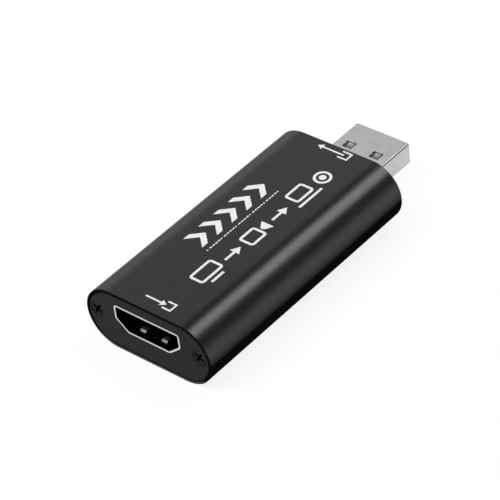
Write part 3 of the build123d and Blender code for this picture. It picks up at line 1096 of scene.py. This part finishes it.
class CAPTUREBOX_OT_cover_screws(bpy.types.Operator):
    """Round the edges of the cover screws and give them their black oxide finish"""

    bl_idname = "capture_box.cover_screws"
    bl_label = "Cover screws"

    def execute(self, context):
        oxide = oxide_finish()
        self.add_screws("input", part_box("input_cover_screws")[0].y, oxide)
        self.add_screws("output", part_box("output_cover_screws")[1].y, oxide)
        return {"FINISHED"}

    def add_screws(self, end, head, oxide):
        """The two screws of one cover, whose heads' flat faces lie at the given Y."""

        def mark_recess_shade(bm):
            # Marks the faces behind each head's flat face for painted shade
            mark_faces(bm, lambda face: abs(face.calc_center_median().y - head) > RECESS_START)

        width = look("casing").screw_round
        screws = eased(f"{end}_cover_screws", f"{end}_screws", width, segments=1, shape=mark_recess_shade)
        show(screws, "box", oxide)


class CAPTUREBOX_OT_input_socket(bpy.types.Operator):
    """Finish the input socket's shell, sprung fingers, moulding and contacts"""

    bl_idname = "capture_box.input_socket"
    bl_label = "Input socket"

    def execute(self, context):
        ports = look("ports")

        def mark_inside_shade(bm):
            mark_faces(bm, self.inside_shade_share)

        shell = eased("input_socket_shell", "socket_sleeve", ports.ring_round, shape=mark_inside_shade)
        show(shell, "box", plating_finish())
        spring = spring_finish()
        for level in ("upper", "lower"):
            for hand in ("left", "right"):
                body = f"finger_{level}_{hand}"
                finger = eased(f"input_socket_{body}", f"sprung_{body}", ports.edge_round)
                show(finger, body, spring)
        tongue = eased("input_socket_housing", "socket_moulding_block", ports.moulding_round)
        show(tongue, "box", black_moulding_finish())
        carried(gold_finish(), "input_socket_upper_contacts", "input_socket_lower_contacts")
        return {"FINISHED"}

    def inside_shade_share(self, face):
        """One on the faces that line the shell and on the outer corners of its front edge."""
        centre = face.calc_center_median()
        inward = Vector((centre.x, 0, centre.z - SOCKET_MIDDLE)).dot(face.normal) < 0
        level_wall = abs(face.normal.z) > LEVEL_FACING
        if inward:
            return centre.y > INPUT_END + (LEVEL_SHADE_START if level_wall else SIDE_SHADE_START)
        return level_wall and face.normal.y < -FRONT_FACING


class CAPTUREBOX_OT_output_plug(bpy.types.Operator):
    """Finish the output plug's folded shell, moulding and contacts"""

    bl_idname = "capture_box.output_plug"
    bl_label = "Output plug"

    def execute(self, context):
        ports = look("ports")

        def mark_fold_shade(bm):
            mark_faces(bm, self.fold_shade_share)

        shell = eased("output_plug_shell", "plug_sleeve", ports.edge_round, shape=mark_fold_shade)
        show(shell, "box", satin_finish())
        shelf = eased("output_plug_insulator", "plug_moulding_shelf", ports.moulding_round)
        show(shelf, "box", pale_moulding_finish())
        carried(gold_finish(), "output_plug_power_contacts", "output_plug_data_contacts")
        return {"FINISHED"}

    def fold_shade_share(self, face):
        """Full on the shell's folds, and a small share on its sides."""
        if min(abs(face.normal.x), abs(face.normal.z)) > FOLD_FACING:
            return 1.0
        return SIDE_SHARE if abs(face.normal.x) > SIDE_FACING else 0.0


class CAPTUREBOX_OT_circuit_board(bpy.types.Operator):
    """Finish the circuit board with its woven laminate under the mask, and its solder"""

    bl_idname = "capture_box.circuit_board"
    bl_label = "Circuit board"

    def execute(self, context):
        carried(laminate_finish(), "circuit_board")
        carried(tin_finish(), "solder_joints")
        return {"FINISHED"}


class CAPTUREBOX_OT_board_parts(bpy.types.Operator):
    """Finish the chips, crystal, coil and small parts on the board"""

    bl_idname = "capture_box.board_parts"
    bl_label = "Board parts"

    def execute(self, context):
        tin = tin_finish()
        carried(tin, "capture_chip_leads", "memory_chip_leads", "regulator_leads", "crystal_can")
        carried(tin, "power_coil_pads", "capacitor_ends", "resistor_ends")
        epoxy = epoxy_finish()
        carried(epoxy, "capture_chip_body", "memory_chip_body", "regulator_bodies", "protection_arrays")
        carried(fired_finish(), "crystal_base")
        carried(ferrite_finish(), "power_coil_core")
        carried(capacitor_finish(), "capacitor_bodies")
        carried(glaze_finish(), "resistor_bodies")
        return {"FINISHED"}


class CAPTUREBOX_OT_port_marks(bpy.types.Operator):
    """Print the arrow into a bracket at the input end and the arrow out of one at the output end"""

    bl_idname = "capture_box.port_marks"
    bl_label = "Port marks"

    def execute(self, context):
        stroke = look("print").thin_stroke
        height = 2.1 * MM
        middle = height / 2
        head = 1.15 * MM
        input_arrow = (0.0, 4.6 * MM)
        input_bracket = (4.3 * MM, 6.3 * MM)
        output_bracket = (2.2 * MM, 0.0)
        output_arrow = (1.3 * MM, 7.2 * MM)
        input_place = (-2.0 * MM, INPUT_END + 1.8 * MM)
        output_place = (4.0 * MM, OUTPUT_END - 0.55 * MM)

        def bracket(bm, open_end, closed_end):
            """A square bracket from its open end to its closed end."""
            side = math.copysign(1, closed_end - open_end)
            upright = closed_end - side * stroke / 2
            inner = closed_end - side * stroke
            bar(bm, (upright, 0.0), (upright, height), stroke)
            for level in (stroke / 2, height - stroke / 2):
                bar(bm, (open_end, level), (inner, level), stroke)

        def draw_input(bm):
            arrow(bm, *input_arrow, middle, head, stroke)
            bracket(bm, *input_bracket)

        def draw_output(bm):
            bracket(bm, *output_bracket)
            arrow(bm, *output_arrow, middle, head, stroke)

        printed("input_mark", draw_input, input_place, turn=0.0)
        printed("output_mark", draw_output, output_place, turn=math.pi)
        return {"FINISHED"}


class CAPTUREBOX_OT_flow_marks(bpy.types.Operator):
    """Print the bold chevrons along the signal's way and the fine dashed line beside them"""

    bl_idname = "capture_box.flow_marks"
    bl_label = "Flow marks"

    def execute(self, context):
        inks = look("print")
        length = 19.6 * MM
        height = 4.3 * MM
        arm = 1.5 * MM
        reach = 2.0 * MM
        pitch = (length - arm - reach) / max(inks.chevron_count - 1, 1)
        line_length = 20.0 * MM
        step = line_length / inks.dash_count
        dash_stroke = 0.26 * MM
        long_share = 0.72
        short_share = 0.4
        short_every = 5
        start = INPUT_END + 17.7 * MM
        chevron_place = (-2.1 * MM, start)
        dash_place = (-0.85 * MM, start - 0.2 * MM)

        def draw_chevrons(bm):
            for number in range(inks.chevron_count):
                chevron(bm, number * pitch, height, arm, reach)

        def draw_dashes(bm):
            for number in range(inks.dash_count):
                share = long_share if number % short_every else short_share
                bar(bm, (number * step, 0.0), (number * step + share * step, 0.0), dash_stroke)

        printed("flow_chevrons", draw_chevrons, chevron_place, turn=math.pi / 2)
        printed("fine_dashes", draw_dashes, dash_place, turn=math.pi / 2)
        return {"FINISHED"}


class CAPTUREBOX_OT_picture_row(bpy.types.Operator):
    """Print the row of pictures: a screen, a camera, a computer, the arrows between, and a record spot"""

    bl_idname = "capture_box.picture_row"
    bl_label = "Picture row"

    def execute(self, context):
        stroke = look("print").stroke
        corner = 0.7 * MM
        level = 1.9 * MM
        head = 1.7 * MM
        screen_heights = (1.0 * MM, 3.8 * MM + stroke)
        foot_level = 0.1 * MM
        camera_low = (12.4 * MM, 0.2 * MM)
        camera_high = (16.6 * MM, 3.6 * MM)
        horn_back = 17.0 * MM
        horn_front = 18.6 * MM
        horn_heights = ((0.5 * MM, 1.5 * MM), (3.3 * MM, 2.3 * MM))
        horn_corner = 0.15 * MM
        first_arrow = (7.0 * MM, 11.2 * MM)
        second_arrow = (19.8 * MM, 24.0 * MM)
        spot_place = (34.0 * MM, level)
        ring_radius = 1.75 * MM
        spot_radius = 0.7 * MM
        row_place = (5.3 * MM, INPUT_END + 10.3 * MM)

        def display(bm, screen, foot):
            """A screen over a line, which is its foot or a computer's keys."""
            low = (screen[0], screen_heights[0])
            high = (screen[1], screen_heights[1])
            frame_shape(bm, low, high, stroke, corner)
            bar(bm, (foot[0], foot_level), (foot[1], foot_level), stroke)

        def camera(bm):
            """A camera's body with its lens hood, which points at the computer."""
            frame_shape(bm, camera_low, camera_high, stroke, corner)
            lower, upper = horn_heights
            horn = [
                (horn_back, lower[1]),
                (horn_front, lower[0]),
                (horn_front, upper[0]),
                (horn_back, upper[1]),
            ]
            flat_shape(bm, horn, horn_corner)

        def draw(bm):
            display(bm, screen=(0.0, 5.8 * MM), foot=(1.3 * MM, 4.5 * MM))
            arrow(bm, *first_arrow, level, head, stroke)
            camera(bm)
            arrow(bm, *second_arrow, level, head, stroke)
            display(bm, screen=(25.9 * MM, 30.7 * MM), foot=(25.1 * MM, 31.5 * MM))
            hollow(bm, disc(bm, *spot_place, ring_radius), stroke)
            disc(bm, *spot_place, spot_radius)

        printed("picture_row", draw, row_place, turn=math.pi / 2)
        return {"FINISHED"}


class CAPTUREBOX_OT_stage(bpy.types.Operator):
    """Set the pale floor, the soft lamps, the room's dim light and the camera"""

    bl_idname = "capture_box.stage"
    bl_label = "Stage"

    def execute(self, context):
        stage = look("stage")
        scene = context.scene
        self.add_floor(scene, stage)
        self.add_room(scene)
        for name, direction, size, level in LAMPS:
            self.add_lamp(scene, name, direction, size, level)
        self.add_camera(scene, stage)
        scene.view_settings.view_transform = "Standard"
        return {"FINISHED"}

    def add_floor(self, scene, stage):
        """A wide flat floor, a hair under the box."""
        below = 0.01 * MM
        bm = bmesh.new()
        bmesh.ops.create_grid(bm, x_segments=1, y_segments=1, size=stage.floor_size)
        bmesh.ops.translate(bm, verts=bm.verts, vec=(0, 0, -below))
        floor = object_from(bm, "floor")
        scene.collection.objects.link(floor)
        floor.data.materials.append(self.floor_finish(stage))

    def floor_finish(self, stage):
        """A pale floor that is nearly white to the camera and in reflections, and keeps a soft shadow."""
        material = bpy.data.materials.new("Pale floor")
        material.use_nodes = True
        tree = material.node_tree
        tree.nodes.remove(tree.nodes["Principled BSDF"])
        rays = shader_node(tree, "ShaderNodeLightPath").outputs
        seen = calculate(tree, "ADD", rays["Is Camera Ray"], rays["Is Glossy Ray"])
        seen = calculate(tree, "ADD", seen, rays["Is Transmission Ray"], clamp=True)
        share = calculate(tree, "MULTIPLY", seen, stage.floor_lift)
        matt = shader_node(tree, "ShaderNodeBsdfDiffuse", {"Color": rgba(stage.floor_colour)})
        plain = shader_node(tree, "ShaderNodeEmission", {"Strength": stage.floor_level})
        mix_shaders(tree, share, matt, plain)
        return material

    def add_room(self, scene):
        """A dim room that is pale at the horizon and brighter on its right."""
        overhead = 0.16
        horizon_band = (0.1, 0.38)
        left_share = 0.5
        side_band = (-0.6, 0.5)
        world = bpy.data.worlds.new("Room")
        scene.world = world
        world.use_nodes = True
        tree = world.node_tree
        direction = shader_node(tree, "ShaderNodeTexCoord").outputs["Generated"]
        parts = shader_node(tree, "ShaderNodeSeparateXYZ", {0: direction}).outputs
        level = spread(tree, parts["Z"], 1.0, overhead, horizon_band)
        share = spread(tree, parts["X"], left_share, 1.0, side_band)
        background = tree.nodes["Background"]
        background.inputs["Color"].default_value = (1, 1, 1, 1)
        tree.links.new(calculate(tree, "MULTIPLY", level, share), background.inputs["Strength"])

    def add_lamp(self, scene, name, direction, size, level):
        """A rectangular soft lamp that faces the box, with the given brightness of its own face."""
        offset = Vector(direction).normalized() * look("stage").lamp_distance
        lamp = bpy.data.lights.new(name, "AREA")
        lamp.shape = "RECTANGLE"
        lamp.size, lamp.size_y = size
        lamp.energy = level * math.pi * size[0] * size[1]
        obj = bpy.data.objects.new(name, lamp)
        obj.location = Vector(LAMP_TARGET) + offset
        obj.rotation_mode = "QUATERNION"
        obj.rotation_quaternion = offset.to_track_quat("Z", "Y")
        scene.collection.objects.link(obj)

    def add_camera(self, scene, stage):
        """The camera, turned towards the box and rolled as the photograph's was."""
        camera = bpy.data.cameras.new("Camera")
        camera.lens = stage.lens
        camera.sensor_width = SENSOR_WIDTH
        camera.clip_start = 0.01
        camera.clip_end = 20
        obj = bpy.data.objects.new("Camera", camera)
        around = Matrix.Rotation(CAMERA_AZIMUTH, 4, "Z")
        down = Matrix.Rotation(math.pi / 2 - CAMERA_ELEVATION, 4, "X")
        roll = Matrix.Rotation(CAMERA_ROLL, 4, "Z")
        target = Matrix.Translation(CAMERA_TARGET)
        obj.matrix_world = target @ around @ down @ roll @ Matrix.Translation(CAMERA_OFFSET)
        scene.collection.objects.link(obj)
        scene.camera = obj


class CAPTUREBOX_PT_panel(bpy.types.Panel):
    """Buttons for each piece of the box and for the stage"""

    bl_idname = "CAPTUREBOX_PT_panel"
    bl_label = "Video capture box"
    bl_space_type = "VIEW_3D"
    bl_region_type = "UI"
    bl_category = "Capture box"

    def draw(self, context):
        for operator in OPERATORS:
            self.layout.operator(operator.bl_idname)
        for name, group in GROUPS.items():
            column = self.layout.column(heading=group.__doc__)
            for key in group.__annotations__:
                column.prop(look(name), key)


GROUPS = {
    "casing": CasingLook,
    "ports": PortLook,
    "print": PrintLook,
    "board": BoardLook,
    "stage": StageLook,
}
OPERATORS = (
    CAPTUREBOX_OT_sleeve,
    CAPTUREBOX_OT_end_covers,
    CAPTUREBOX_OT_cover_screws,
    CAPTUREBOX_OT_input_socket,
    CAPTUREBOX_OT_output_plug,
    CAPTUREBOX_OT_circuit_board,
    CAPTUREBOX_OT_board_parts,
    CAPTUREBOX_OT_port_marks,
    CAPTUREBOX_OT_flow_marks,
    CAPTUREBOX_OT_picture_row,
    CAPTUREBOX_OT_stage,
)


def register():
    for name, group in GROUPS.items():
        bpy.utils.register_class(group)
        setattr(bpy.types.Scene, f"capture_box_{name}", PointerProperty(type=group))
    for operator in OPERATORS:
        bpy.utils.register_class(operator)
    bpy.utils.register_class(CAPTUREBOX_PT_panel)


def unregister():
    bpy.utils.unregister_class(CAPTUREBOX_PT_panel)
    for operator in reversed(OPERATORS):
        bpy.utils.unregister_class(operator)
    for name, group in GROUPS.items():
        delattr(bpy.types.Scene, f"capture_box_{name}")
        bpy.utils.unregister_class(group)


def main():
    register()
    for operator in OPERATORS:
        group, name = operator.bl_idname.split(".")
        getattr(getattr(bpy.ops, group), name)()


if __name__ == "__main__":
    main()
